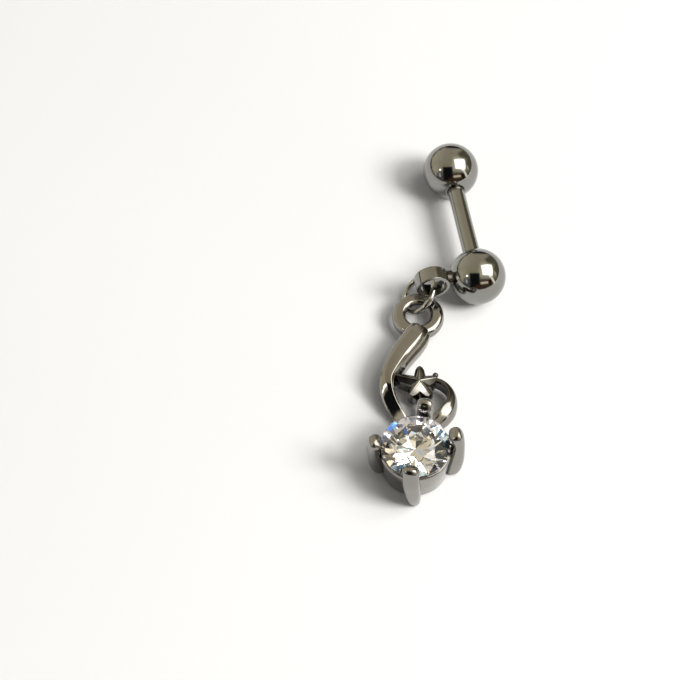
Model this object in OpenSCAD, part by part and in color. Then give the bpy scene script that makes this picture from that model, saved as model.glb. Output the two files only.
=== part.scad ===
// Helix stud with a hanging charm, lying on a table. All sizes are millimetres.
// The post lies along +Y, the back ball at its far end, the charm at the near left.

/* [Barbell] */
// Diameter of the two balls
ball_d = 4; // [3.8:0.1:4.2]
// Distance between the balls' centres
ball_span = 9.6; // [9:0.1:12]
// Diameter of the post
post_d = 1.2; // [1.1:0.05:1.3]
// Length of the post that is open between the balls
post_open = 6; // [5.9:0.05:6.1]
// Diameter of the threaded ends
thread_d = 0.88; // [0.8:0.02:0.88]
// Depth to which a threaded end goes into its ball
thread_len = 1.55; // [1:0.05:1.6]

/* [Bail on the front ball] */
// Outer diameter of the short tube
bail_d = 2.4; // [2.3:0.05:2.5]
// Diameter of its bore
bail_bore_d = 1.9; // [1.8:0.05:1.95]
// Length of the tube along the post's direction
bail_len = 1.05; // [0.95:0.05:1.15]
// Distance from the front ball's centre to the tube's axis
bail_reach = 3.36; // [3.3:0.02:3.4]
// Angle by which the bail stands above the level
bail_lift = 7.1; // [6.7:0.1:8]
// Diameter of the neck between ball and tube
neck_d = 1.15; // [1:0.05:1.2]

/* [Jump ring] */
// Diameter of its wire
jump_wire_d = 0.42; // [0.36:0.01:0.42]
// Mean radius of the ring
jump_r = 1.405; // [1.395:0.005:1.41]

/* [Charm] */
// Turn of the charm against the post, seen from above
charm_turn = -10; // [-10.5:0.5:-9.5]
// Tilt that lifts the charm's ring off the table, over the jump ring
charm_tilt = 2.2; // [2.1:0.05:2.4]
// Mean radius of the charm's ring
ring_r = 1.4; // [1.395:0.005:1.415]
// Height of the metal of the charm's ring
ring_h = 0.84; // [0.8:0.01:0.86]
// Radius of the star's points
star_r = 1.27; // [1.2:0.01:1.3]
// Radius of the notches between the points
star_notch_r = 0.68; // [0.62:0.01:0.72]
// Height of the star at its middle
star_peak = 1.65; // [1.5:0.05:1.8]

/* [Setting and stone] */
// Diameter of the stone
stone_d = 4.75; // [4.6:0.02:4.8]
// Height of the stone's girdle above the foot of the setting
girdle_z = 2.85; // [2.83:0.01:2.95]
// Width of the round head at the end of each prong
head_w = 0.96; // [0.9:0.02:1]
// Height of the middle of the heads
head_z = 3.8; // [3.75:0.01:3.85]

/* [Hidden] */
steel = [0.60, 0.58, 0.55];
round_fn = 64;

// The origin is under the middle of the whole stud's box
shift = [4.222, 2.648, 0];
ball_r = ball_d / 2;
post_y0 = (ball_span - post_open) / 2;

// The threaded holes: running clearance, mouth and countersink
hole_gap = 0.02;
hole_d = thread_d + 2 * hole_gap;
hole_len = thread_len + 0.12;
mouth_d = 1.76;
mouth_len = (mouth_d - hole_d) / 2;

// Bail, with its axis along the post
bail_c = [-bail_reach * cos(bail_lift), -0.2, bail_reach * sin(bail_lift)];
bail_edge = 0.06;

// Jump ring: its middle and the direction that its hole faces
jump_c = [-4.277, -0.255, 1.174];
jump_tilt = 42.3;
jump_facing = 168.8;

// The charm's own frame: middle of the setting's foot, +Y to its ring, +Z up
setting_at = [-7.12, -13.55];
tilt_y = -2.5;
ring_c = [0.42, 11.90];
star_c = [0.43, 5.95];
nub_at = [1.52, 6.67, 1.0];
nub_d = 0.42;

// Section of the charm's ring: distance outwards from its mean radius, share of its height
ring_shape = [
    [-0.06, 0],
    [0.36, 0],
    [0.44, 0.24],
    [0.42, 0.54],
    [0.36, 0.79],
    [0.26, 0.91],
    [0.10, 1],
    [-0.32, 1],
    [-0.48, 0.86],
    [-0.55, 0.57],
    [-0.49, 0.40]
];

// Scroll, from the ring to the setting: x, y, width, foot, top, lean
scroll_rows = [
    [0.48, 10.32, 1.45, 0.30, 1.64, 0],
    [0.24, 9.92, 1.58, 0.08, 1.76, 0],
    [-0.12, 9.36, 1.58, 0.00, 1.80, 0],
    [-0.55, 8.75, 1.52, 0.00, 1.82, 0],
    [-1.00, 8.05, 1.42, 0.00, 1.80, 0],
    [-1.50, 7.10, 1.24, 0.05, 1.78, 0],
    [-1.80, 6.42, 1.10, 0.05, 1.75, 0.15],
    [-1.88, 5.86, 1.02, 0.05, 1.61, 0.5],
    [-1.80, 5.24, 0.96, 0.05, 1.34, 0.8],
    [-1.57, 4.65, 0.94, 0.00, 1.02, 0.95],
    [-1.25, 4.12, 0.93, 0.00, 0.70, 1],
    [-0.95, 3.62, 0.92, 0.00, 0.40, 1],
    [-0.62, 3.12, 0.90, 0.00, 0.26, 1],
    [-0.10, 2.30, 0.80, 0.00, 0.26, 1]
];

// Loop round the star's right side: x, y, width, foot, top, lean
loop_rows = [
    [0.85, 6.24, 0.36, 0.20, 1.16, 0],
    [1.55, 6.28, 0.40, 0.10, 1.20, 0],
    [2.18, 5.96, 0.46, 0.00, 1.22, 0.2],
    [2.60, 5.38, 0.56, 0.00, 1.22, 0.6],
    [2.66, 4.72, 0.74, 0.00, 1.26, 0.9],
    [2.42, 4.06, 0.96, 0.00, 1.34, 1],
    [2.00, 3.50, 0.98, 0.00, 1.28, 1],
    [1.40, 2.95, 0.84, 0.00, 1.02, 1],
    [0.70, 2.35, 0.66, 0.00, 0.80, 1]
];

// Sections of the two bands, from the foot of the inner wall round to the outer foot, as shares
// of half the width (inner side positive) and half the height: upright, and leaning outwards
scroll_upright = [
    [1.06, -1], [1.15, -0.6], [1.13, -0.02], [0.84, 0.25], [0.90, 0.73], [0.56, 0.96],
    [-0.45, 1], [-0.76, 0.86], [-0.93, 0.735], [-1, 0.35], [-1, -0.4], [-0.7, -1]
];
scroll_leaning = [
    [0.92, -1], [1, -0.6], [1, 0.1], [1, 0.5], [0.98, 0.94], [0.86, 1],
    [0.35, 0.82], [-0.25, 0.6], [-0.8, 0.4], [-1, 0.1], [-1, -0.6], [-0.6, -1]
];
loop_upright = [
    [0.75, -1], [1, -0.7], [1, 0.2], [0.98, 0.72], [0.88, 0.92], [0.6, 1],
    [0, 1], [-0.55, 0.96], [-0.9, 0.75], [-1, 0.3], [-1, -0.6], [-0.7, -1]
];
loop_leaning = [
    [0.75, -1], [1, -0.7], [1, 0.2], [1, 0.8], [0.9, 0.95], [0.66, 0.98],
    [0.1, 0.82], [-0.58, 0.52], [-0.9, 0.05], [-1, -0.35], [-1, -0.75], [-0.7, -1]
];

// Length of each of the star's arms: ring side, then on round to the left
arm_rows = [1, 1.34, 0.98, 1, 0.94];

// Prongs: direction round the setting, radius of the head, radius of the foot, lean of the foot
prong_rows = [
    [76, 2.67, 2.50, 0.00],
    [185, 2.71, 2.38, -0.05],
    [261, 2.46, 2.56, 0.38],
    [366, 2.64, 2.50, -0.55]
];

// One prong above its foot and up to its shoulder: radius, height, width, thickness
prong_shape = [
    [2.62, 0.50, 0.84, 0.98],
    [2.74, 1.30, 1.00, 1.06],
    [2.82, 2.20, 1.12, 0.98],
    [2.88, 2.95, 1.08, 0.86]
];

// Collet under the stone: radius, height
collet_shape = [
    [2.24, 0.06],
    [2.45, 2.54],
    [2.39, 2.62],
    [2.18, 2.62],
    [1.78, 2.29],
    [1.66, 2.02],
    [1.60, 0.06]
];

function smooth(a, b, c, d, t) =
    0.5 * (2 * b + (c - a) * t + (2 * a - 5 * b + 4 * c - d) * t * t
        + (3 * b - a - 3 * c + d) * t * t * t);

// Rows of numbers with n steps of a smooth curve between each two
function refine(rows, n) = [
    for (i = [0 : len(rows) - 2], s = [0 : n - 1])
        smooth(
            rows[max(i - 1, 0)], rows[i], rows[i + 1],
            rows[min(i + 2, len(rows) - 1)], s / n
        ),
    rows[len(rows) - 1]
];

// Direction of a path of rows at place i, over columns 0 and 1
function heading(rows, i) =
    let (
        a = rows[max(i - 1, 0)],
        b = rows[min(i + 1, len(rows) - 1)],
        d = [b[0] - a[0], b[1] - a[1]]
    )
    d / norm(d);

// A rounded square's outline at angle a: 1 at its sides, softer at its corners
function soft(v) = sign(v) * pow(abs(v), 0.72);

// Solid through rings of points that all have the same count
module skin(rings) {
    n = len(rings[0]);
    last = len(rings) - 1;
    points = [for (r = rings, p = r) p];
    sides = [
        for (i = [0 : last - 1], j = [0 : n - 1])
            let (k = (j + 1) % n)
            each [
                [i * n + j, (i + 1) * n + j, i * n + k],
                [i * n + k, (i + 1) * n + j, (i + 1) * n + k]
            ]
    ];
    start = [for (j = [1 : n - 2]) [0, j, j + 1]];
    end = [for (j = [1 : n - 2]) [last * n, last * n + j + 1, last * n + j]];
    polyhedron(points, concat(start, sides, end));
}

// Band along rows of x, y, width, foot, top and lean, whose section goes from upright to leaning.
// The inner side lies to the path's left where inner is 1, and to its right where it is -1.
module band(rows, upright, leaning, inner, steps) {
    path = refine(rows, steps);
    last = len(path) - 1;
    count = len(upright);
    out = 0.16;
    skin([
        for (i = [-1 : last + 1])
            let (
                k = min(max(i, 0), last),
                p = path[k],
                d = heading(path, k),
                ends = i < 0 ? -1 : (i > last ? 1 : 0),
                size = ends == 0 ? 1 : 0.72,
                half_w = size * p[2] / 2,
                half_h = size * (p[4] - p[3]) / 2,
                mid = (p[4] + p[3]) / 2,
                at = [p[0] + out * ends * d[0], p[1] + out * ends * d[1]]
            )
            [
                for (j = [0 : count - 1])
                    let (
                        c = inner > 0 ? j : count - 1 - j,
                        s = upright[c] * (1 - p[5]) + leaning[c] * p[5],
                        u = -inner * s[0] * half_w
                    )
                    [at[0] + d[1] * u, at[1] - d[0] * u, mid + half_h * s[1]]
            ]
    ]);
}

// Star with blunt arms, a ridge along each and a peak in the middle
module star() {
    rim = 1.24;
    foot = 0.15;
    arms = 5;
    blunt = 0.31;
    turns = [-80, -40, 0, 40, 80];
    step = len(turns) + 1;
    outline = [
        for (k = [0 : arms - 1])
            let (
                a = 90 + 360 * k / arms,
                b = a + 180 / arms,
                r = star_r * arm_rows[k] - blunt
            )
            each [
                for (t = turns)
                    [r * cos(a) + blunt * cos(a + t), r * sin(a) + blunt * sin(a + t)],
                [star_notch_r * cos(b), star_notch_r * sin(b)]
            ]
    ];
    n = len(outline);
    ridges = [
        for (k = [0 : arms - 1])
            let (a = 90 + 360 * k / arms, r = star_r * arm_rows[k] - blunt)
            [r * cos(a), r * sin(a), rim + 0.2]
    ];
    peak = 2 * n + arms;
    middle = peak + 1;
    verts = concat(
        [for (p = outline) [p[0], p[1], foot]],
        [for (p = outline) [p[0], p[1], rim]],
        ridges,
        [[0, 0, star_peak], [0, 0, foot]]
    );
    walls = [
        for (j = [0 : n - 1])
            let (k = (j + 1) % n)
            each [[j, n + j, k], [k, n + j, n + k]]
    ];
    top = [
        for (k = [0 : arms - 1])
            let (
                r = 2 * n + k,
                j = n + step * k,
                before = n + (step * k + n - 1) % n,
                after = j + step - 1
            )
            each [
                [before, r, j],
                for (i = [j : after - 1]) [i, r, i + 1],
                [after, r, peak],
                [r, before, peak]
            ]
    ];
    under = [for (j = [0 : n - 1]) [middle, j, (j + 1) % n]];
    translate([star_c[0], star_c[1], 0])
        polyhedron(verts, concat(walls, top, under));
}

// One prong, from its foot to the round head that holds the stone
module prong(direction, head_r, foot_r, lean) {
    sides = 12;
    rows = concat(
        [[foot_r, 0.03, 0.60, 0.80]],
        [for (r = prong_shape) [r[0] + 0.4 * (foot_r - 2.5) * (2.95 - r[1]), r[1], r[2], r[3]]],
        [
            [head_r + 0.14, head_z - 0.12, head_w, 0.82],
            [head_r, head_z + 0.14, 0.92 * head_w, 0.74],
            [head_r - 0.09, head_z + 0.33, 0.62 * head_w, 0.48],
            [head_r - 0.12, head_z + 0.41, 0.25 * head_w, 0.18]
        ]
    );
    path = refine(rows, 2);
    last = len(path) - 1;
    rotate([0, 0, direction])
        skin([
            for (i = [0 : last])
                let (
                    p = path[i],
                    d = i == 0 ? [0, 1] : heading(path, i),
                    side = lean * (1 - p[1] / head_z)
                )
                [
                    for (j = [0 : sides - 1])
                        let (
                            a = 360 * (j + 0.5) / sides,
                            u = p[3] / 2 * soft(cos(a)),
                            v = p[2] / 2 * soft(sin(a))
                        )
                        [p[0] + d[1] * u, side + v, p[1] - d[0] * u]
                ]
        ]);
}

module collet() {
    rotate_extrude($fn = round_fn)
        polygon(collet_shape);
}

module charm_ring() {
    translate([ring_c[0], ring_c[1], 0])
        rotate_extrude($fn = round_fn)
            polygon([for (p = ring_shape) [ring_r + p[0], ring_h * p[1]]]);
}

// Bar from the crotch of the star to the foot of the nearest prong
module stem() {
    stem_w = 0.44;
    from_y = 2.1;
    to_y = star_c[1] - 0.4;
    translate([star_c[0] + 0.02 - stem_w / 2, from_y, 0.15])
        cube([stem_w, to_y - from_y, 0.8]);
}

module place() {
    translate(shift)
        children();
}

// Everything about the balls' common axis
module place_axis() {
    place()
        translate([0, 0, ball_r])
            children();
}

module place_charm() {
    place()
        translate([setting_at[0], setting_at[1], 0])
            rotate([0, 0, charm_turn])
                translate([0, tilt_y, 0])
                    rotate([charm_tilt, 0, 0])
                        translate([0, -tilt_y, 0])
                            children();
}

// Threaded hole along +Y, its mouth at y = 0 and opening to -Y
module ball_hole() {
    rotate([-90, 0, 0])
        rotate_extrude($fn = round_fn)
            polygon([
                [0, -1],
                [mouth_d / 2, -1],
                [mouth_d / 2, 0],
                [hole_d / 2, mouth_len],
                [hole_d / 2, hole_len],
                [0, hole_len + hole_d / 4]
            ]);
}

module post() {
    taper = 0.1;
    tip = 0.12;
    end = post_open + thread_len;
    color(steel)
        place_axis()
            translate([0, post_y0, 0])
                rotate([-90, 0, 0])
                    rotate_extrude($fn = round_fn)
                        polygon([
                            [0, -thread_len],
                            [thread_d / 2 - tip, -thread_len],
                            [thread_d / 2, tip - thread_len],
                            [thread_d / 2, -taper],
                            [post_d / 2, 0],
                            [post_d / 2, post_open],
                            [thread_d / 2, post_open + taper],
                            [thread_d / 2, end - tip],
                            [thread_d / 2 - tip, end],
                            [0, end]
                        ]);
}

module bail() {
    ri = bail_bore_d / 2;
    ro = bail_d / 2;
    half = bail_len / 2;
    translate(bail_c)
        rotate([-90, 0, 0])
            rotate_extrude($fn = round_fn)
                polygon([
                    [ri, bail_edge - half],
                    [ri + bail_edge, -half],
                    [ro - bail_edge, -half],
                    [ro, bail_edge - half],
                    [ro, half - bail_edge],
                    [ro - bail_edge, half],
                    [ri + bail_edge, half],
                    [ri, half - bail_edge]
                ]);
}

// Neck from the ball's surface into the bail's wall
module neck() {
    from_r = ball_r - 0.25;
    to_r = bail_reach - bail_bore_d / 2 - 0.12;
    rotate([0, -90 + bail_lift, 0])
        translate([0, 0, from_r])
            cylinder(d = neck_d, h = to_r - from_r, $fn = round_fn);
}

module front_ball() {
    color(steel)
        place_axis() {
            difference() {
                sphere(d = ball_d, $fn = round_fn);
                translate([0, post_y0, 0])
                    mirror([0, 1, 0])
                        ball_hole();
            }
            neck();
            bail();
        }
}

module back_ball() {
    color(steel)
        place_axis()
            translate([0, ball_span, 0])
                difference() {
                    sphere(d = ball_d, $fn = round_fn);
                    translate([0, -post_y0, 0])
                        ball_hole();
                }
}

module jump_ring() {
    color([0.66, 0.64, 0.61])
        place()
            translate(jump_c)
                rotate([0, jump_tilt, jump_facing])
                    rotate_extrude($fn = round_fn)
                        translate([jump_r, 0])
                            circle(d = jump_wire_d, $fn = 24);
}

module charm() {
    color([0.56, 0.54, 0.51])
        place_charm() {
            charm_ring();
            band(scroll_rows, scroll_upright, scroll_leaning, 1, 3);
            band(loop_rows, loop_upright, loop_leaning, -1, 3);
            star();
            stem();
            translate(nub_at)
                sphere(d = nub_d, $fn = 16);
            collet();
            for (row = prong_rows)
                prong(row[0], row[1], row[2], row[3]);
        }
}

// Round brilliant: eight-sided table, crown, thin girdle, pavilion down to a point
module stone() {
    fold = 8;
    half_turn = 180 / fold;
    girdle_r = stone_d / 2;
    girdle_h = 0.1;
    crown_h = 0.15 * stone_d;
    pavilion_h = 0.415 * stone_d;
    table_r = 0.285 * stone_d;
    z0 = girdle_z;
    z1 = girdle_z + girdle_h;
    crown_mid = 0.42 * girdle_r + 0.58 * table_r;
    lower_mid = 0.24 * girdle_r;
    ring = function (r, z, count, turn) [
        for (k = [0 : count - 1])
            let (a = 360 * k / count + turn)
            [r * cos(a), r * sin(a), z]
    ];
    crown_z = z1 + crown_h * (girdle_r - crown_mid) / (girdle_r - table_r);
    lower_z = z0 - pavilion_h * (girdle_r - lower_mid) / girdle_r;
    color([0.90, 0.92, 0.95, 0.6])
        place_charm()
            hull()
                polyhedron(
                    concat(
                        ring(table_r, z1 + crown_h, fold, 0),
                        ring(crown_mid / cos(half_turn), crown_z, fold, half_turn),
                        ring(girdle_r, z1, 2 * fold, 0),
                        ring(girdle_r, z0, 2 * fold, 0),
                        ring(lower_mid / cos(half_turn), lower_z, fold, half_turn),
                        [[0, 0, z0 - pavilion_h]]
                    ),
                    [for (i = [0 : 7 * fold - 2]) [i, i + 1, i + 2]]
                );
}

post();
front_ball();
back_ball();
jump_ring();
charm();
stone();
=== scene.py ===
"""Helix stud lying on a white table.

Lengths are in millimetres in this file and become metres when a mesh is made. Shapes are first
worked out in the stud's plan: +Y along the post, +Z up, zero on the table under the front ball.
"""

import bmesh
import bpy
import math
import numpy as np
from mathutils import Matrix, Vector


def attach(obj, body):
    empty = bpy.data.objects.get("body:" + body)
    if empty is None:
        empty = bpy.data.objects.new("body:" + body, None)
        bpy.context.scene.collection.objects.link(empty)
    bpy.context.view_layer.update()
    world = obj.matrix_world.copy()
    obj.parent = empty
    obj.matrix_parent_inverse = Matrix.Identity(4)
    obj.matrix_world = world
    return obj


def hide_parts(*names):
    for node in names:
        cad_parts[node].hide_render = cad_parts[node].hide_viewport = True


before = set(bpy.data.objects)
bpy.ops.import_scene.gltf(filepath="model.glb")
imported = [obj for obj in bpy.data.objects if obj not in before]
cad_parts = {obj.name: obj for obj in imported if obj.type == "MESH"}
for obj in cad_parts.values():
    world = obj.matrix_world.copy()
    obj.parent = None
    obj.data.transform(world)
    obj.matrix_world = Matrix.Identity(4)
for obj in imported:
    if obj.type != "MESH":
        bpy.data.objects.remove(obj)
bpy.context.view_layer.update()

TAU = 2 * math.pi
MM = 0.001
# From the plan to the frame's origin, under the middle of the stud's box
SHIFT = np.array([4.222, 2.648, 0.0])

# Barbell, as in the part's source
BALL_R = 2.0
BALL_SPAN = 9.6
POST_R = 0.6
POST_OPEN = 6.0
POST_Y0 = (BALL_SPAN - POST_OPEN) / 2
THREAD_R = 0.44
THREAD_LEN = 1.55
HOLE_R = 0.46
HOLE_LEN = 1.67
MOUTH_R = 0.66
PITCH = 0.25
THREAD_ROWS, THREAD_FADE = 90, 0.12
POST_CUT, HOLE_CUT = 0.06, 0.05

# Bail and wire ring
BAIL_LIFT = math.radians(7.1)
BAIL_REACH = 3.36
BAIL_R, BAIL_BORE_R, BAIL_LEN, BAIL_Y = 1.2, 0.95, 1.05, -0.2
NECK_R = 0.575
JUMP_C = (-4.277, -0.255, 1.174)
JUMP_R, WIRE_R = 1.405, 0.21
JUMP_TILT, JUMP_FACING = math.radians(42.3), math.radians(168.8)

# Charm. Its own frame has the setting's middle at zero, +Y to the ring and +Z up. It is tilted about the
# line y = TILT_Y, turned, and moved to CHARM_AT.
CHARM_AT = (-7.12, -13.55, 0.0)
CHARM_TURN = math.radians(-10)
CHARM_TILT = math.radians(2.2)
TILT_Y = -2.5
RING_C, RING_R = (0.42, 11.90), 1.40
STAR_C = (0.43, 5.95)
STAR_R, STAR_NOTCH_R, STAR_RIM, STAR_FOOT = 1.27, 0.68, 1.26, 0.15
STAR_RISE, STAR_RIDGE = 0.42, 0.42
ARM_ROWS = (1, 1.34, 0.98, 1, 0.94)
NUB_AT = (1.52, 6.67, 1.0)

# Scroll and loop: x, y, width, foot, top, lean
SCROLL_ROWS = (
    (0.48, 10.32, 1.45, 0.30, 1.64, 0.0),
    (0.24, 9.92, 1.58, 0.08, 1.76, 0.0),
    (-0.12, 9.36, 1.58, 0.00, 1.80, 0.0),
    (-0.55, 8.75, 1.52, 0.00, 1.82, 0.0),
    (-1.00, 8.05, 1.42, 0.00, 1.80, 0.0),
    (-1.50, 7.10, 1.24, 0.05, 1.78, 0.0),
    (-1.80, 6.42, 1.10, 0.05, 1.75, 0.15),
    (-1.88, 5.86, 1.02, 0.05, 1.61, 0.5),
    (-1.80, 5.24, 0.96, 0.05, 1.34, 0.8),
    (-1.57, 4.65, 0.94, 0.00, 1.02, 0.95),
    (-1.25, 4.12, 0.93, 0.00, 0.70, 1.0),
    (-0.95, 3.62, 0.92, 0.00, 0.40, 1.0),
    (-0.62, 3.12, 0.90, 0.00, 0.26, 1.0),
    (-0.10, 2.30, 0.80, 0.00, 0.26, 1.0),
)
LOOP_ROWS = (
    (0.85, 6.24, 0.36, 0.20, 1.16, 0.0),
    (1.55, 6.28, 0.40, 0.10, 1.20, 0.0),
    (2.18, 5.96, 0.46, 0.00, 1.22, 0.2),
    (2.60, 5.38, 0.56, 0.00, 1.22, 0.6),
    (2.66, 4.72, 0.74, 0.00, 1.26, 0.9),
    (2.42, 4.06, 0.96, 0.00, 1.34, 1.0),
    (2.00, 3.50, 0.98, 0.00, 1.28, 1.0),
    (1.40, 2.95, 0.84, 0.00, 1.02, 1.0),
    (0.70, 2.35, 0.66, 0.00, 0.80, 1.0),
)

# Sections of the two bands, from the foot of the inner wall round to the outer foot, as shares of half
# the width (inner side positive) and half the height: upright, and leaning outwards
SCROLL_UPRIGHT = (
    (1.06, -1.0), (1.15, -0.6), (1.13, -0.02), (0.84, 0.25), (0.93, 0.71), (0.54, 0.97),
    (-0.45, 1.0), (-0.76, 0.86), (-0.93, 0.735), (-1.0, 0.35), (-1.0, -0.4), (-0.7, -1.0),
)
SCROLL_LEANING = (
    (0.92, -1.0), (1.0, -0.6), (1.0, 0.1), (1.0, 0.5), (1.0, 0.86), (0.77, 1.0),
    (0.35, 0.82), (-0.25, 0.6), (-0.8, 0.4), (-1.0, 0.1), (-1.0, -0.6), (-0.6, -1.0),
)
LOOP_UPRIGHT = (
    (0.75, -1.0), (1.0, -0.7), (1.0, 0.2), (0.98, 0.72), (0.88, 0.92), (0.6, 1.0),
    (0.0, 1.0), (-0.55, 0.96), (-0.9, 0.75), (-1.0, 0.3), (-1.0, -0.6), (-0.7, -1.0),
)
LOOP_LEANING = (
    (0.75, -1.0), (1.0, -0.7), (1.0, 0.2), (1.0, 0.8), (0.9, 0.95), (0.66, 0.98),
    (0.1, 0.82), (-0.58, 0.52), (-0.9, 0.05), (-1.0, -0.35), (-1.0, -0.75), (-0.7, -1.0),
)

# Setting and stone
STONE_R, GIRDLE_Z, STONE_TURN = 2.375, 2.85, math.radians(20)
# Crown facets with painted sparkle: a point near the facet's middle, the colour it emits as painted light,
# and the tint of what shows through
PAINTED_SPARKS = (
    (1.50, 0.76, (0.05, 0.13, 0.20), (0.78, 0.93, 1.0)),
    (0.50, -2.25, (0.06, 0.17, 0.24), (0.72, 0.92, 1.0)),
    (-1.87, 0.30, (0.01, 0.04, 0.11), (0.75, 0.84, 1.0)),
)
# Middle of the painted blue spark on the crown, in the charm's own frame
PAINTED_BLUE_SPARK = (-1.57, 1.40, 3.13)
COLLET = ((2.24, 0.06), (2.445, 2.47), (2.35, 2.62), (2.18, 2.62), (1.78, 2.29), (1.66, 2.02), (1.60, 0.06))
# The four prongs: direction in degrees, distance of the head and of the foot from the middle, and how far
# the foot lies to the side
HEAD_Z = 3.8
PRONG_ROWS = (
    (76, 2.67, 2.50, 0.00),
    (185, 2.70, 2.37, -0.05),
    (261, 2.46, 2.56, 0.38),
    (366, 2.64, 2.50, -0.55),
)
# Prong sections as distance, height, width and thickness. The foot's distances count from foot_r, and
# the head's distances and heights from head_r and HEAD_Z. The shape between them is that of a foot at
# SHAPE_FOOT, and another foot moves it in step with the height left up to SHAPE_Z.
SHAPE_FOOT, SHAPE_Z = 2.5, 2.95
PRONG_FOOT = (
    (0.00, 0.03, 0.66, 0.72),
    (0.03, 0.10, 0.72, 0.82),
)
PRONG_HEAD = (
    (0.15, -0.20, 1.1328, 0.92),
    (0.02, 0.09, 1.152, 0.94),
    (-0.06, 0.28, 0.9216, 0.75),
    (-0.10, 0.36, 0.5184, 0.41),
    (-0.11, 0.375, 0.02, 0.02),
)
PRONG_SHAPE = (
    (2.62, 0.50, 0.88, 0.98),
    (2.74, 1.30, 1.04, 1.06),
    (2.82, 2.20, 1.16, 0.98),
    (2.88, 2.95, 1.14, 0.86),
)


# ---- Surfaces ----


def refine(rows, steps):
    """Catmull-Rom curve through the rows: for each span b to c, with neighbours a and d and t from 0 to 1,
    (2b + (c - a)t + (2a - 5b + 4c - d)t^2 + (3b - a - 3c + d)t^3) / 2."""
    rows = np.asarray(rows, float)
    padded = np.concatenate([rows[:1], rows, rows[-1:]])
    a, b, c, d = (padded[k : k + len(rows) - 1][:, None] for k in range(4))
    t = (np.arange(steps) / steps)[None, :, None]
    spans = (2 * b + (c - a) * t + (2 * a - 5 * b + 4 * c - d) * t**2 + (3 * b - a - 3 * c + d) * t**3) / 2
    return np.concatenate([spans.reshape(-1, rows.shape[1]), rows[-1:]])


def headings(plan):
    """Unit direction of a plan path at each point, from the point before to the point after."""
    step = np.gradient(plan, axis=0)
    return step / np.linalg.norm(step, axis=1, keepdims=True)


def soft(v, power=0.72):
    """Keeps the sign and raises the size to a power below 1, which squares a circle's section."""
    return np.sign(v) * np.abs(v) ** power


def angles(n):
    return np.arange(n) / n * TAU


def rings_about(r, h, a):
    """Rings round the third axis: r cos a, r sin a, h, with a row of r and one h for each ring."""
    return np.stack([r * np.cos(a), r * np.sin(a), np.broadcast_to(h[:, None], (len(h), len(a)))], -1)


def revolve(profile, n=128):
    """Turns a profile of rows (r, h) round the third axis."""
    r, h = np.asarray(profile, float).T
    return rings_about(r[:, None], h, angles(n))


def along_y(points):
    """Turns the third axis onto +Y, with the first kept: x, y, z become x, z, -y."""
    return np.stack([points[..., 0], points[..., 2], -points[..., 1]], -1)


def spin(points, axis, angle):
    """Rotates points about axis 0, 1 or 2 by the right-hand rule."""
    i, j = ((1, 2), (2, 0), (0, 1))[axis]
    out = np.array(points, float)
    c, s = math.cos(angle), math.sin(angle)
    out[..., i] = c * points[..., i] - s * points[..., j]
    out[..., j] = s * points[..., i] + c * points[..., j]
    return out


def rounded(corners, radius=0.03, steps=4, closed=False):
    """Replaces each corner of a path by a curve between the points a radius before and after it:
    the quadratic curve (1-t)^2 p + 2t(1-t) corner + t^2 q."""
    pts = np.asarray(corners, float)
    before = np.roll(pts, 1, 0) if closed else np.concatenate([pts[:1], pts[:-1]])
    after = np.roll(pts, -1, 0) if closed else np.concatenate([pts[1:], pts[-1:]])
    to_before, to_after = before - pts, after - pts
    lb = np.linalg.norm(to_before, axis=1, keepdims=True) + 1e-9
    la = np.linalg.norm(to_after, axis=1, keepdims=True) + 1e-9
    p = pts + to_before / lb * np.minimum(radius, lb * 0.45)
    q = pts + to_after / la * np.minimum(radius, la * 0.45)
    t = np.linspace(0, 1, steps)[None, :, None]
    curve = (1 - t) ** 2 * p[:, None] + 2 * t * (1 - t) * pts[:, None] + t**2 * q[:, None]
    return curve.reshape(-1, pts.shape[1])


def lie(points):
    """Takes the charm's own frame to the stud's plan: a tilt about its near foot, a turn and a shift."""
    p = points - np.array([0.0, TILT_Y, 0.0])
    p = spin(p, 0, CHARM_TILT) + np.array([0.0, TILT_Y, 0.0])
    return spin(p, 2, CHARM_TURN) + np.array(CHARM_AT)


def close(ring_count, n, start=0, wrap=False):
    """Four-sided faces between rings of n points; wrap joins the last ring to the first."""
    i = np.arange(ring_count if wrap else ring_count - 1)[:, None]
    j = np.arange(n)[None, :]
    k, up = (j + 1) % n, (i + 1) % ring_count
    return np.stack([i * n + j, i * n + k, up * n + k, up * n + j], -1).reshape(-1, 4) + start


def piece(name, shells, material, node, sharp=35.0, wrap=False):
    """Makes one object from shells, each an array of rings of points, or a pair of points and faces."""
    points, faces, start = [], [], 0
    for shell in shells:
        if isinstance(shell, tuple):
            pts, fcs = shell
            faces += [tuple(int(v) + start for v in f) for f in fcs]
        else:
            rings, n = shell.shape[:2]
            pts = shell.reshape(-1, 3)
            faces += close(rings, n, start, wrap).tolist()
            if not wrap:
                faces += [tuple(range(start + n - 1, start - 1, -1))]
                faces += [tuple(range(start + (rings - 1) * n, start + rings * n))]
        points.append(pts)
        start += len(pts)
    mesh = bpy.data.meshes.new(name)
    mesh.from_pydata((np.concatenate(points) + SHIFT) * MM, [], faces)
    welded = bmesh.new()
    welded.from_mesh(mesh)
    bmesh.ops.remove_doubles(welded, verts=welded.verts, dist=4e-7)
    bmesh.ops.recalc_face_normals(welded, faces=welded.faces)
    welded.to_mesh(mesh)
    welded.free()
    mesh.polygons.foreach_set("use_smooth", np.full(len(mesh.polygons), sharp > 0))
    if sharp > 0:
        mesh.set_sharp_from_angle(angle=math.radians(sharp))
    mesh.materials.append(material)
    obj = bpy.data.objects.new(name, mesh)
    bpy.context.scene.collection.objects.link(obj)
    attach(obj, "back_ball" if node == "back_ball" else "stud")
    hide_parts(node)
    return obj


# ---- Finishes ----

# Colour towards which the painted shade darkens the charm's metal near a spot
PAINTED_SHADE_TONE = (0.05, 0.042, 0.038)


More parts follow.
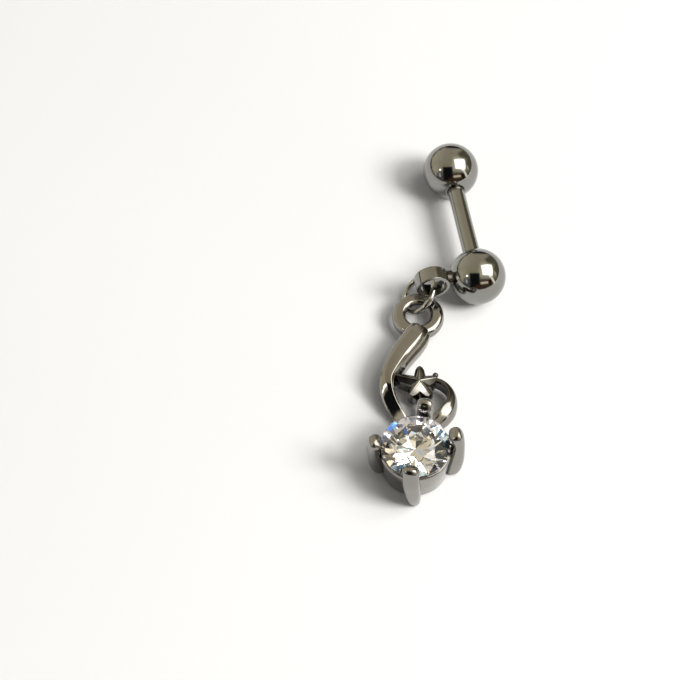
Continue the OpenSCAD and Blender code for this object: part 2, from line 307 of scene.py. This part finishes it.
class Value:
    """A socket that takes part in sums: an operator adds a Math node and gives its result."""

    def __init__(self, shop, socket):
        self.shop, self.socket = shop, socket

    def _math(self, operation, *terms):
        sockets = {i: t for i, t in enumerate(terms)}
        return self.shop.node("ShaderNodeMath", {"operation": operation}, sockets)

    def __add__(self, other):
        return self._math("ADD", self, other)

    def __sub__(self, other):
        return self._math("SUBTRACT", self, other)

    def __mul__(self, other):
        return self._math("MULTIPLY", self, other)

    def __truediv__(self, other):
        return self._math("DIVIDE", self, other)

    def __rsub__(self, other):
        return self._math("SUBTRACT", other, self)

    def __abs__(self):
        return self._math("ABSOLUTE", self)

    __radd__, __rmul__ = __add__, __mul__

    def least(self, other):
        return self._math("MINIMUM", self, other)

    def most(self, other):
        return self._math("MAXIMUM", self, other)

    def span(self, low, high):
        """0 at low, 1 at high, held between."""
        return ((self - low) / (high - low)).most(0.0).least(1.0)

    def ease(self, low, high):
        """span with soft ends: s s (3 - 2 s)."""
        s = self.span(low, high)
        return s * s * (3 - 2 * s)


class Shop:
    """A node tree, with one method that makes any node and a few short names for common ones."""

    def __init__(self, tree):
        self.tree = tree
        tree.nodes.clear()

    def node(self, kind, settings=None, inputs=None, output=0):
        made = self.tree.nodes.new(kind)
        for key, value in (settings or {}).items():
            setattr(made, key, value)
        for key, value in (inputs or {}).items():
            if isinstance(value, Value):
                self.tree.links.new(value.socket, made.inputs[key])
            else:
                made.inputs[key].default_value = value
        return Value(self, made.outputs[output]) if made.outputs else None

    def place(self):
        """The point's place in the object's own frame, in metres."""
        return self.node("ShaderNodeTexCoord", output=3)

    def blend(self, factor, a, b):
        """Colour mix: a where factor is 0, b where it is 1."""
        return self.node("ShaderNodeMix", {"data_type": "RGBA"}, {0: factor, 6: a, 7: b}, output=2)

    def noise(self, place, scale, detail=3.0, roughness=0.5):
        inputs = {"Vector": place, "Scale": scale, "Detail": detail, "Roughness": roughness}
        return self.node("ShaderNodeTexNoise", {}, inputs)

    def bump(self, distance, height, below=None):
        """Raised by height x distance in metres, on top of the bump below."""
        inputs = {"Strength": 1.0, "Distance": distance, "Height": height}
        if below:
            inputs["Normal"] = below
        return self.node("ShaderNodeBump", {}, inputs)

    def away(self, place, spot):
        """Distance in mm from a spot that is given in the charm's own frame."""
        spot = tuple((lie(np.array(spot)) + SHIFT) * MM)
        return self.node("ShaderNodeVectorMath", {"operation": "DISTANCE"}, {0: place, 1: spot}, 1) * (1 / MM)


def metal(name, tone, dull, rough, wave, scratch, painted_shade=None):
    """Polished metal: tone is its colour and dull its darker tarnish; rough is the lowest and highest
    roughness; wave is the height in metres of the polish's long ripples and scratch that of fine marks.
    The last argument paints shade and dark reflections into the colour, darker nearer a spot: the spot, the
    distances in mm where this painted shade starts and is full, and its share there."""
    mat = bpy.data.materials.new(name)
    mat.use_nodes = True
    shop = Shop(mat.node_tree)
    place = shop.place()
    cloud = shop.noise(place, 420.0, 3.0)
    grain = shop.noise(place, 5200.0, 4.0, 0.65)
    drawn_out = {"Vector": place, "Rotation": (0.3, 0.1, 0.7), "Scale": (9000, 700, 9000)}
    marks = shop.noise(shop.node("ShaderNodeMapping", {}, drawn_out), 1.0, 2.0).ease(0.56, 0.72)
    stain = cloud.ease(0.46, 0.7)
    color = shop.blend(stain * 0.55, (*tone, 1), (*dull, 1))
    # Painted shade: near the spot the colour darkens towards the shade tone, in place of shade and dark
    # reflections
    if painted_shade:
        spot, start, full, share = painted_shade
        dark = shop.away(place, spot).ease(start, full) * share
        color = shop.blend(dark, color, (*PAINTED_SHADE_TONE, 1))
    roughness = (rough[0] + (rough[1] - rough[0]) * (0.5 * stain + 0.5 * grain.ease(0.4, 0.75))).least(1.0)
    ripples = shop.bump(wave, shop.noise(place, 900.0, 1.0))
    relief = shop.bump(scratch, marks + 0.5 * grain, ripples)
    shader = shop.node(
        "ShaderNodeBsdfPrincipled",
        {},
        {"Base Color": color, "Metallic": 1.0, "Roughness": roughness, "Normal": relief},
    )
    shop.node("ShaderNodeOutputMaterial", {}, {"Surface": shader})
    return mat


def casting(name, rough=(0.06, 0.14), painted_shade=None):
    """The charm's cast metal, with its ripples and marks a little coarser than the barbell's."""
    return metal(name, (0.30, 0.292, 0.276), (0.255, 0.24, 0.22), rough, 1.6e-6, 1e-7, painted_shade)


def clear_stone(name):
    """Clear hard stone with a high refractive index; face attributes give its tints and its painted sparkle,
    colour emitted by some facets in place of the light they would catch. One painted blue spark, emitted blue
    and a blue tint, lies over several facets near the rim."""
    mat = bpy.data.materials.new(name)
    mat.use_nodes = True
    shop = Shop(mat.node_tree)
    tint = shop.node("ShaderNodeAttribute", {"attribute_name": "tint"})
    painted_sparkle = shop.node("ShaderNodeAttribute", {"attribute_name": "painted_sparkle"})
    place = shop.place()
    dust = shop.noise(place, 2600.0, 3.0).ease(0.62, 0.8)
    flicker = shop.noise(place, 2200.0, 2.0).ease(0.32, 0.52)
    # Painted sparkle: emitted colour on the facets, broken up by noise, and a painted blue spark near the rim
    # that emits blue and tints blue
    blue = 1 - shop.away(place, PAINTED_BLUE_SPARK).ease(0.35, 0.51)
    painted_sparkle = shop.blend(blue, shop.blend(flicker, (0, 0, 0, 1), painted_sparkle), (0.0, 0.14, 0.5, 1))
    tint = shop.blend(blue, tint, (0.04, 0.30, 0.90, 1))
    shader = shop.node(
        "ShaderNodeBsdfPrincipled",
        {},
        {
            "Base Color": tint,
            "Roughness": 0.004 + 0.05 * dust,
            "IOR": 2.15,
            "Transmission Weight": 1.0,
            "Emission Color": painted_sparkle,
            "Emission Strength": 1.0,
        },
    )
    shop.node("ShaderNodeOutputMaterial", {}, {"Surface": shader})
    return mat


STEEL = metal("polished_steel", (0.28, 0.28, 0.265), (0.245, 0.24, 0.22), (0.08, 0.16), 5e-7, 6e-8)
WIRE = metal("drawn_wire", (0.40, 0.398, 0.385), (0.33, 0.325, 0.31), (0.07, 0.16), 5e-7, 1.2e-7)
CAST = casting("cast_metal")
# Painted shade: the star, the loop and the start of the scroll darken near a spot, in place of the shade and
# dark reflections they show there
CAST_STAR = casting("cast_star", painted_shade=((*STAR_C, 1.5), 0.5, 1.1, 0.75))
CAST_LOOP = casting("cast_loop", painted_shade=((0.9, 5.6, 1.2), 2.3, 1.6, 0.75))
SATIN = casting("satin_casting", rough=(0.18, 0.28))
CAST_SCROLL = casting("cast_scroll", painted_shade=((0.95, 10.25, 1.5), 0.75, 0.3, 0.85))
BORE = metal("drilled_steel", (0.20, 0.19, 0.17), (0.14, 0.135, 0.12), (0.22, 0.36), 4e-7, 4e-7)
# Painted shade: the bail's neck is near black, in place of the shade and dark reflections in the narrow gap
# between the ball and the bail
NECK_SHADE = metal("neck_painted_shade", (0.075, 0.07, 0.062), (0.05, 0.046, 0.04), (0.16, 0.30), 2.5e-6, 3e-7)
STONE = clear_stone("clear_stone")


# ---- Barbell ----


def thread_depth(height, angle, start, end):
    """Depth of a V thread, 0 to 1: a triangle wave of (height / pitch - turn), faded at both ends."""
    phase = (height[:, None] / PITCH - angle[None, :] / TAU) % 1.0
    wave = 1 - np.abs(2 * phase - 1)
    fade = np.clip((height - start) / THREAD_FADE, 0, 1) * np.clip((end - height) / THREAD_FADE, 0, 1)
    return wave * fade[:, None]


def ball(centre_y, mouth_side):
    """Sphere with a countersunk threaded hole, as three parts from pole to floor: the sphere's arc with the
    countersink, the wall and the floor. Heights run from the centre towards the mouth."""
    mouth, n = POST_Y0, 96
    lip = math.asin(MOUTH_R / BALL_R)
    polar = np.linspace(0, math.pi - lip, 110)
    outer = np.stack([BALL_R * np.sin(polar), -BALL_R * np.cos(polar)], -1)
    rim = rounded([outer[-1], (HOLE_R, mouth - (MOUTH_R - HOLE_R)), (HOLE_R, mouth - 0.5)], 0.05)
    shell = revolve(np.concatenate([outer[:-1], rim[2:-4]]))
    bottom = mouth - HOLE_LEN
    wall_h = np.linspace(mouth - 0.42, bottom, THREAD_ROWS)
    cut = thread_depth(wall_h, angles(n), bottom + 0.05, mouth - 0.4)
    wall = rings_about(HOLE_R + HOLE_CUT * cut, wall_h, angles(n))
    floor = revolve([(HOLE_R, bottom), (0.0, bottom - HOLE_R / 2)], n)
    return [place_ball(part, centre_y, mouth_side) for part in (shell, wall, floor)]


def place_ball(points, centre_y, mouth_side):
    """Turns a ball's mouth to +Y or -Y, and sets the ball on the table."""
    turned = along_y(points)
    turned[..., 1] *= mouth_side
    return turned + np.array([0.0, centre_y, BALL_R])


def open_shell(points):
    """Points and side faces only, for a surface that isn't closed by end faces."""
    rings, n = points.shape[:2]
    return points.reshape(-1, 3), close(rings, n)


def make_ball(name, centre_y, mouth_side, node):
    """The polished shell and the drilled hole. The hole's faces look inwards."""
    shell, wall, floor = ball(centre_y, mouth_side)
    piece(name, [open_shell(shell)], STEEL, node)
    hole = piece(name + "_hole", [open_shell(wall), open_shell(floor)], BORE, node)
    inward = bmesh.new()
    inward.from_mesh(hole.data)
    bmesh.ops.reverse_faces(inward, faces=inward.faces)
    inward.to_mesh(hole.data)
    inward.free()


def post():
    """Barbell post: threaded stub, smooth shaft, threaded stub, one profile along +Y."""
    taper, tip = 0.1, 0.12
    end = POST_OPEN + THREAD_LEN
    lead = np.linspace(-THREAD_LEN + tip, -taper, THREAD_ROWS)
    tail = np.linspace(POST_OPEN + taper, end - tip, THREAD_ROWS)
    shaft = rounded(
        [(THREAD_R, -taper), (POST_R, 0.0), (POST_R, POST_OPEN), (THREAD_R, POST_OPEN + taper)], 0.05
    )
    height = np.concatenate([[-THREAD_LEN, -THREAD_LEN], lead, shaft[4:-4, 1], tail, [end, end]])
    thread_r = np.full(THREAD_ROWS, THREAD_R)
    tip_r = np.array([0.0, THREAD_R - tip])
    radius = np.concatenate([tip_r, thread_r, shaft[4:-4, 0], thread_r, tip_r[::-1]])
    a = angles(96)
    cut = thread_depth(height, a, -THREAD_LEN + 0.05, -taper - 0.02)
    cut = cut + thread_depth(height, a, POST_OPEN + taper + 0.02, end - 0.05)
    r = radius[:, None] - POST_CUT * cut * (radius[:, None] > 0)
    shell = open_shell(along_y(rings_about(r, height, a)) + np.array([0.0, POST_Y0, BALL_R]))
    piece("barbell_post", [shell], STEEL, "post", sharp=50)


# ---- Bail and wire ring ----


def bail():
    """Short tube along the post's direction, with rounded edges, and the flared neck that carries it."""
    half = BAIL_LEN / 2
    profile = rounded(
        [(BAIL_BORE_R, -half), (BAIL_R, -half), (BAIL_R, half), (BAIL_BORE_R, half)], 0.05, 5, closed=True
    )
    tube = along_y(revolve(profile, 160))
    centre = np.array([-BAIL_REACH * math.cos(BAIL_LIFT), BAIL_Y, BAIL_REACH * math.sin(BAIL_LIFT) + BALL_R])
    piece("bail_tube", [tube + centre], STEEL, "front_ball", wrap=True)
    reach = np.linspace(BALL_R - 0.25, BAIL_REACH - BAIL_BORE_R - 0.10, 24)
    mid = (BALL_R + BAIL_REACH - BAIL_R) / 2
    flare = NECK_R + 0.6 * (reach - mid) ** 2
    neck = spin(revolve(np.stack([flare, reach], -1), 64), 1, BAIL_LIFT - math.pi / 2)
    # The neck's near-black colour is painted shade for the gap between the ball and the bail
    piece("bail_neck", [neck + np.array([0.0, 0.0, BALL_R])], NECK_SHADE, "front_ball")


def jump_ring():
    """Wire ring: a circle of the wire's radius carried round the ring's radius, with a fine sawn seam."""
    seam = 0.02 / JUMP_R
    turn = np.linspace(seam, TAU - seam, 200)[:, None]
    a = -angles(28)[None, :]
    radius = JUMP_R + WIRE_R * np.cos(a)
    rings = np.stack([radius * np.cos(turn), radius * np.sin(turn), WIRE_R * np.sin(a) + 0 * turn], -1)
    rings = spin(spin(spin(rings, 2, 2.4), 1, JUMP_TILT), 2, JUMP_FACING)
    piece("wire_ring", [rings + np.array(JUMP_C)], WIRE, "jump_ring")


# ---- Charm ----


def band(rows, upright, leaning, inner, softness, steps=8):
    """Carries a section along a plan path. The section is upright (1 - lean) + leaning lean, with rounded
    corners; inner is 1 where its inner side lies to the path's left and -1 to its right. Each end closes
    by smaller rings, set along the path on a quarter ellipse."""
    path = refine(rows, steps)
    head = headings(path[:, :2])
    out = np.array([0.20, 0.17, 0.04])
    draw = np.array([0.60, 0.86, 0.985])
    n = len(out)
    first, last = np.repeat(path[:1], n, 0), np.repeat(path[-1:], n, 0)
    first[:, :2] -= out[:, None] * head[0]
    last[:, :2] += out[::-1, None] * head[-1]
    path = np.concatenate([first, path, last])
    head = np.concatenate([head[:1]] * n + [head] + [head[-1:]] * n)
    draw = np.concatenate([draw, np.ones(len(path) - 2 * n), draw[::-1]])[:, None]
    lean = path[:, 5, None, None]
    corners = np.array(upright) * (1 - lean) + np.array(leaning) * lean
    section = np.stack([rounded(ring, softness, 5, closed=True) for ring in corners])
    foot, top = path[:, 3, None], path[:, 4, None]
    u = -inner * section[..., 0] * draw * path[:, 2, None] / 2
    v = section[..., 1] * draw * (top - foot) / 2 + (top + foot) / 2
    x = path[:, 0, None] + head[:, 1, None] * u
    y = path[:, 1, None] - head[:, 0, None] * u
    return np.stack([x, y, v], -1)


def charm_bands():
    scroll = band(SCROLL_ROWS, SCROLL_UPRIGHT, SCROLL_LEANING, 1, 0.06)
    piece("scroll", [lie(scroll)], CAST_SCROLL, "charm", sharp=50)
    loop = band(LOOP_ROWS, LOOP_UPRIGHT, LOOP_LEANING, -1, 0.2)
    polar = np.linspace(0, math.pi, 20)
    nub = revolve(np.stack([0.21 * np.sin(polar), -0.21 * np.cos(polar)], -1), 32) + np.array(NUB_AT)
    piece("loop", [lie(loop), lie(nub)], CAST_LOOP, "charm", sharp=50)


def charm_ring():
    """Ring turned round its own axis: flat-topped, with a rounded bore side and a sloping outer side."""
    corners = [
        (-0.06, 0.0), (0.36, 0.0), (0.44, 0.20), (0.42, 0.45), (0.36, 0.66), (0.26, 0.76),
        (0.10, 0.84), (-0.32, 0.84), (-0.48, 0.72), (-0.55, 0.48), (-0.49, 0.34),
    ]
    profile = rounded(corners, 0.07, 6, closed=True) + np.array([RING_R, 0.0])
    rings = revolve(profile, 128) + np.array([*RING_C, 0.0])
    piece("charm_ring", [lie(rings)], CAST, "charm", sharp=60, wrap=True)


def star_outline(per_side=7):
    """Plan of the star: an arc of points round each blunt arm and one notch between arms, then evenly
    divided sides."""
    blunt = 0.31
    turns = np.radians([-80, -40, 0, 40, 80])
    points = []
    for k, share in enumerate(ARM_ROWS):
        a = math.pi / 2 + TAU * k / 5
        r = STAR_R * share - blunt
        for t in a + turns:
            points.append((r * math.cos(a) + blunt * math.cos(t), r * math.sin(a) + blunt * math.sin(t)))
        b = a + math.pi / 5
        points.append((STAR_NOTCH_R * math.cos(b), STAR_NOTCH_R * math.sin(b)))
    corners = np.array(points)
    after = np.roll(corners, -1, 0)
    t = (np.arange(per_side) / per_side)[None, :, None]
    return (corners[:, None] * (1 - t) + after[:, None] * t).reshape(-1, 2)


def roof(plan):
    """Height above the rim, in each arm's own frame (x out along it, y across): rise (1 - p x - q |y|),
    with p and q such that it is nothing at the notches and a share of the rise at the arm's end."""
    ridge_r = 0.03
    from_first = np.arctan2(plan[..., 1], plan[..., 0]) - math.pi / 2
    nearest = np.round(from_first / (TAU / 5)).astype(int) % 5
    turn = math.pi / 2 + TAU * nearest / 5
    x = plan[..., 0] * np.cos(turn) + plan[..., 1] * np.sin(turn)
    y = plan[..., 1] * np.cos(turn) - plan[..., 0] * np.sin(turn)
    p = (1 - STAR_RIDGE) / (STAR_R * np.array(ARM_ROWS)[nearest])
    q = (1 / STAR_NOTCH_R - p * math.cos(math.pi / 5)) / math.sin(math.pi / 5)
    return STAR_RISE * (1 - p * x - q * (np.sqrt(y**2 + ridge_r**2) - ridge_r))


def star():
    """Star with flat facets, two on each arm, which meet in a ridge from the middle to the arm's end. The
    stem below it has a softened section from foot to top at each place along it."""
    outline = star_outline()
    scale = np.concatenate([np.linspace(0, 0.94, 24), [0.97, 1.0]])
    plan = scale[:, None, None] * outline[None]
    height = STAR_RIM - 0.03 + roof(plan)
    top = np.concatenate([plan, height[..., None]], -1)
    wall_z = np.array([STAR_RIM - 0.09, 0.8, STAR_FOOT + 0.05, STAR_FOOT])
    wall_s = np.array([1.004, 1.0, 0.99, 0.95])
    wall_z = np.broadcast_to(wall_z[:, None, None], (len(wall_z), len(outline), 1))
    wall = np.concatenate([wall_s[:, None, None] * outline[None], wall_z], -1)
    body = np.concatenate([top, wall]) + np.array([*STAR_C, 0.0])
    stem_rows = np.array([(STAR_C[1] - 0.35, 0.15, 0.95), (STAR_C[1] - 1.3, 0.15, 0.98), (2.2, 0.15, 0.95)])
    along, foot, top = stem_rows.T[:, :, None]
    a = -angles(24)
    across = STAR_C[0] + 0.02 + 0.22 * soft(np.cos(a)) + 0 * along
    up = (foot + top) / 2 + soft(np.sin(a)) * (top - foot) / 2
    stem = np.stack([across, along + 0 * up, up], -1)
    piece("star", [lie(body), lie(stem)], CAST_STAR, "charm", sharp=45)


# ---- Setting and stone ----


def prong(direction, head_r, foot_r, lean, n=32, steps=7):
    """A bar that bows out from the collet and ends in a round head: a softened section carried along a
    path of radius and height, with its foot moved sideways by lean."""
    rows = [(foot_r + r, z, w, t) for r, z, w, t in PRONG_FOOT]
    rows += [(r + 0.4 * (foot_r - SHAPE_FOOT) * (SHAPE_Z - z), z, w, t) for r, z, w, t in PRONG_SHAPE]
    rows += [(head_r + r, HEAD_Z + z, w, t) for r, z, w, t in PRONG_HEAD]
    path = refine(rows, steps)
    level = np.clip(path[:, 1:2] / 0.7, 0, 1)
    head = headings(path[:, :2]) * level + np.array([0.0, 1.0]) * (1 - level)
    head /= np.linalg.norm(head, axis=1, keepdims=True)
    a = angles(n)
    away, high, wide, thick = path.T[:, :, None]
    u = thick / 2 * soft(np.cos(a), 0.78)
    v = wide / 2 * soft(np.sin(a), 0.78) + lean * (1 - high / HEAD_Z)
    points = np.stack([away + head[:, 1:] * u, v, high - head[:, :1] * u], -1)
    return spin(points, 2, math.radians(direction))


def setting():
    collet = rounded(COLLET, 0.04, 4, closed=True)
    piece("collet", [lie(revolve(collet, 160))], CAST, "charm", sharp=50, wrap=True)
    piece("prongs", [lie(prong(*row)) for row in PRONG_ROWS], SATIN, "charm", sharp=50)


def brilliant():
    """Round brilliant: table, star, kite and upper girdle facets, a thin girdle, lower girdle facets and
    mains down to the culet. Each kite's plane passes through a table corner and a girdle corner, so its
    side corners lie where x' = r cos(half turn) meets that plane."""
    d = 2 * STONE_R
    girdle_h, crown_h, pavilion_h, table_r = 0.1, 0.15 * d, 0.415 * d, 0.285 * d
    half = math.pi / 8
    z0, z1 = GIRDLE_Z, GIRDLE_Z + girdle_h
    crown_mid = 0.42 * STONE_R + 0.58 * table_r
    lower_mid = 0.24 * STONE_R
    crown_z = z1 + crown_h * (STONE_R - crown_mid) / (STONE_R - table_r)
    lower_z = z0 - pavilion_h * (STONE_R - lower_mid) / STONE_R

    def ring(r, z, count, turn):
        a = angles(count) + turn + STONE_TURN
        return np.stack([r * np.cos(a), r * np.sin(a), np.full(count, z)], -1)

    points = np.concatenate(
        [
            ring(table_r, z1 + crown_h, 8, 0),
            ring(crown_mid / math.cos(half), crown_z, 8, half),
            ring(STONE_R, z1, 16, 0),
            ring(STONE_R, z0, 16, 0),
            ring(lower_mid / math.cos(half), lower_z, 8, half),
            [[0, 0, z0 - pavilion_h]],
        ]
    )
    T, C, G, L, W, P = 0, 8, 16, 32, 48, 56
    faces = [tuple(range(8))]
    for k in range(8):
        m, q = (k + 1) % 8, (k - 1) % 8
        g, g1, g2 = 2 * k, 2 * k + 1, (2 * k + 2) % 16
        faces += [
            (T + k, C + k, T + m),
            (T + k, C + q, G + g, C + k),
            (C + k, G + g, G + g1),
            (C + k, G + g1, G + g2),
            (G + g, L + g, L + g1, G + g1),
            (G + g1, L + g1, L + g2, G + g2),
            (W + k, L + g1, L + g),
            (W + k, L + g2, L + g1),
            (P, W + k, L + g, W + q),
        ]
    obj = piece("brilliant", [(lie(points), faces)], STONE, "stone", sharp=0)
    middle = np.array([points[list(face)].mean(0) for face in faces])
    tint = np.tile((0.90, 0.885, 0.86, 1.0), (len(faces), 1))
    painted_glow = np.tile((0.0, 0.0, 0.0, 1.0), (len(faces), 1))
    # Painted reflection: the crown facets towards the star get a lilac tint and emit a little lilac light
    upper = (middle[:, 1] > 0.3) & (middle[:, 2] > z1)  # crown facets towards the star
    tint[upper, :3] = (0.74, 0.74, 0.94)
    painted_glow[upper, :3] = (0.04, 0.04, 0.06)
    # Painted sparkle: the crown facet nearest each listed point emits its colour and tints what shows through
    # it
    for x, y, tone, through in PAINTED_SPARKS:
        off = np.hypot(middle[:, 0] - x, middle[:, 1] - y) + 1000 * (middle[:, 2] < z1)
        painted_glow[off.argmin(), :3] = tone
        tint[off.argmin(), :3] = through
    for key, colours in (("tint", tint), ("painted_sparkle", painted_glow)):
        obj.data.attributes.new(key, "FLOAT_COLOR", "FACE").data.foreach_set("color", colours.ravel())


make_ball("front_ball_shell", 0.0, 1, "front_ball")
make_ball("back_ball_shell", BALL_SPAN, -1, "back_ball")
post()
bail()
jump_ring()
charm_ring()
charm_bands()
star()
setting()
brilliant()


# ---- Table, light and camera ----

PHOTO_TURN = math.radians(10.06)
ELEVATION = math.radians(56)
CAMERA_AT = np.array([-28.08, -102.52, 150.88])
LENS = 136.6
AIM = np.array([-10.30, -2.31, 0.0])


def from_photo(direction):
    """A direction given as right, away and up in the picture, in the part's axes."""
    return spin(np.array(direction, float), 2, -PHOTO_TURN)


def table_top():
    """White table, an even grid of a metre and a half."""
    n = 5
    side = np.linspace(-750, 750, n)
    x, y = np.meshgrid(side, side)
    mesh = bpy.data.meshes.new("table")
    points = np.stack([x, y, np.zeros_like(x)], -1).reshape(-1, 3) * MM
    i = (np.arange(n - 1)[:, None] * n + np.arange(n - 1)[None, :]).ravel()
    mesh.from_pydata(points, [], np.stack([i, i + 1, i + n + 1, i + n], -1).tolist())
    mat = bpy.data.materials.new("white_table")
    mat.use_nodes = True
    shop = Shop(mat.node_tree)
    place = shop.place()
    cloud = shop.noise(place, 30.0)
    color = shop.blend(cloud, (0.80, 0.80, 0.80, 1), (0.84, 0.84, 0.835, 1))
    shader = shop.node("ShaderNodeBsdfPrincipled", {}, {"Base Color": color, "Roughness": 0.6})
    shop.node("ShaderNodeOutputMaterial", {}, {"Surface": shader})
    mesh.materials.append(mat)
    obj = bpy.data.objects.new("table", mesh)
    bpy.context.scene.collection.objects.link(obj)


# What a mirror ball shows of the room, seen from the camera's side: places run from -1 to 1 across the
# ball, then half width, half height, turn in degrees, softness and colour
PATCHES = (
    (0.58, 0.33, 0.42, 0.14, -56, 0.06, (0.20, 0.185, 0.12)),
    (0.27, 0.20, 0.22, 0.24, -10, 0.10, (1.25, 1.15, 0.92)),
    (0.30, -0.30, 0.34, 0.22, 8, 0.10, (0.10, 0.065, 0.045)),
    (0.18, 0.86, 0.34, 0.075, -4, 0.04, (0.03, 0.02, 0.035)),
    (-0.13, -0.15, 0.18, 0.26, 0, 0.035, (0.012, 0.014, 0.014)),
    (-0.40, -0.20, 0.10, 0.14, 12, 0.06, (0.11, 0.11, 0.12)),
    (-0.41, -0.18, 0.03, 0.07, 10, 0.03, (1.0, 1.05, 1.15)),
    (-0.398, 0.010, 0.022, 0.022, 10, 0.015, (9.0, 9.0, 8.6)),
    (0.32, -0.035, 0.20, 0.04, 0, 0.03, (0.75, 0.72, 0.60)),
    (0.41, -0.005, 0.03, 0.018, 0, 0.012, (3.6, 3.5, 3.2)),
    (0.53, -0.14, 0.16, 0.035, -58, 0.02, (2.2, 2.1, 1.8)),
    (0.22, -0.23, 0.14, 0.035, 8, 0.03, (1.6, 1.35, 1.0)),
    (0.43, -0.21, 0.06, 0.09, 30, 0.03, (0.06, 0.015, 0.010)),
    (0.00, -0.36, 0.10, 0.06, 0, 0.03, (0.10, 0.038, 0.026)),
    (0.60, 0.10, 0.02, 0.08, 20, 0.02, (1.1, 1.05, 0.9)),
)


def room():
    """The room that the polished metal mirrors, laid out as a mirror ball shows it: a place on the ball
    is the sum of a direction and the direction to the eye, made one long, along the picture's right and
    up. Diffuse light gets an even cool grey of its own."""
    world = bpy.data.worlds.new("room")
    bpy.context.scene.world = world
    world.use_nodes = True
    shop = Shop(world.node_tree)
    way = shop.node("ShaderNodeTexCoord", output=0)

    def vector(operation, inputs, output=0):
        return shop.node("ShaderNodeVectorMath", {"operation": operation}, inputs, output)

    def along(direction, of):
        return vector("DOT_PRODUCT", {0: of, 1: tuple(from_photo(direction))}, 1)

    to_eye = tuple(from_photo((0, -math.cos(ELEVATION), math.sin(ELEVATION))))
    between = vector("NORMALIZE", {0: vector("ADD", {0: way, 1: to_eye})})
    x = along((1, 0, 0), between)
    y = along((0, math.sin(ELEVATION), math.cos(ELEVATION)), between)
    up = along((0, 0, 1), way)
    place = shop.node("ShaderNodeCombineXYZ", {}, {0: x, 1: y})
    cloud = shop.noise(place, 2.6, 2.0)
    clutter = shop.noise(place, 13.0, 4.0, 0.6)

    ceiling = shop.blend(y.ease(0.1, 0.7), (0.60, 0.53, 0.365, 1), (0.70, 0.62, 0.49, 1))
    ceiling = shop.blend(x.ease(-0.1, -0.7), ceiling, (0.92, 0.86, 0.66, 1))
    ceiling = shop.blend(cloud.ease(0.4, 0.7) * 0.35, ceiling, (0.50, 0.43, 0.27, 1))
    rim = shop.blend(clutter.ease(0.55, 0.66), (0.04, 0.037, 0.025, 1), (0.55, 0.52, 0.42, 1))
    color = shop.blend((up + 0.5 * (clutter - 0.5)).ease(0.03, 0.16), rim, ceiling)
    for cx, cy, wide, high, turn, soft_edge, tone in PATCHES:
        c, s = math.cos(math.radians(turn)), math.sin(math.radians(turn))
        p = abs((x - cx) * c + (y - cy) * s)
        q = abs((y - cy) * c - (x - cx) * s)
        past_side = p.ease(wide - soft_edge, wide + soft_edge)
        past_end = q.ease(high - soft_edge, high + soft_edge)
        color = shop.blend((1 - past_side) * (1 - past_end), color, (*tone, 1))
    diffuse = shop.node("ShaderNodeLightPath", output=2)
    color = shop.blend(diffuse, color, (0.15, 0.156, 0.166, 1))
    sky = shop.node("ShaderNodeBackground", {}, {"Color": color, "Strength": 1.0})
    shop.node("ShaderNodeOutputWorld", {}, {"Surface": sky})


def softbox(name, direction, across, distance, wide, high, watts, mirrored=True):
    """Rectangular lamp that faces the stud, mirrored in the metal or not. Its direction and the way its
    width runs are given as right, away and up in the picture."""
    lamp = bpy.data.lights.new(name, "AREA")
    lamp.shape, lamp.size, lamp.size_y, lamp.energy = "RECTANGLE", wide, high, watts
    lamp.color = (1.0, 0.985, 0.96)
    obj = bpy.data.objects.new(name, lamp)
    bpy.context.scene.collection.objects.link(obj)
    z = from_photo(direction)
    z /= np.linalg.norm(z)
    x = from_photo(across)
    x -= z * (x @ z)
    x /= np.linalg.norm(x)
    frame_rows = np.eye(4)
    frame_rows[:3] = np.stack([x, np.cross(z, x), z, z * distance], 1)
    obj.matrix_world = Matrix(frame_rows.tolist())
    obj.visible_glossy = obj.visible_transmission = mirrored


def camera():
    eye = bpy.data.cameras.new("camera")
    eye.lens, eye.sensor_width, eye.clip_start, eye.clip_end = LENS, 36.0, 0.01, 10.0
    obj = bpy.data.objects.new("camera", eye)
    bpy.context.scene.collection.objects.link(obj)
    place = Vector((CAMERA_AT + SHIFT) * MM)
    look = Vector((AIM + SHIFT) * MM) - place
    obj.matrix_world = Matrix.Translation(place) @ look.to_track_quat("-Z", "Y").to_matrix().to_4x4()
    bpy.context.scene.camera = obj


table_top()
room()
softbox("window_light", (0.60, -0.03, 0.80), (0.81, 0.27, -0.52), 0.5, 0.42, 0.38, 1.7)
softbox("low_light", (0.68, -0.25, 0.69), (0.69, 0.0, -0.68), 0.5, 0.18, 0.18, 2.2, mirrored=False)
camera()
bpy.context.scene.view_settings.view_transform = "Standard"
bpy.context.scene.view_settings.look = "None"
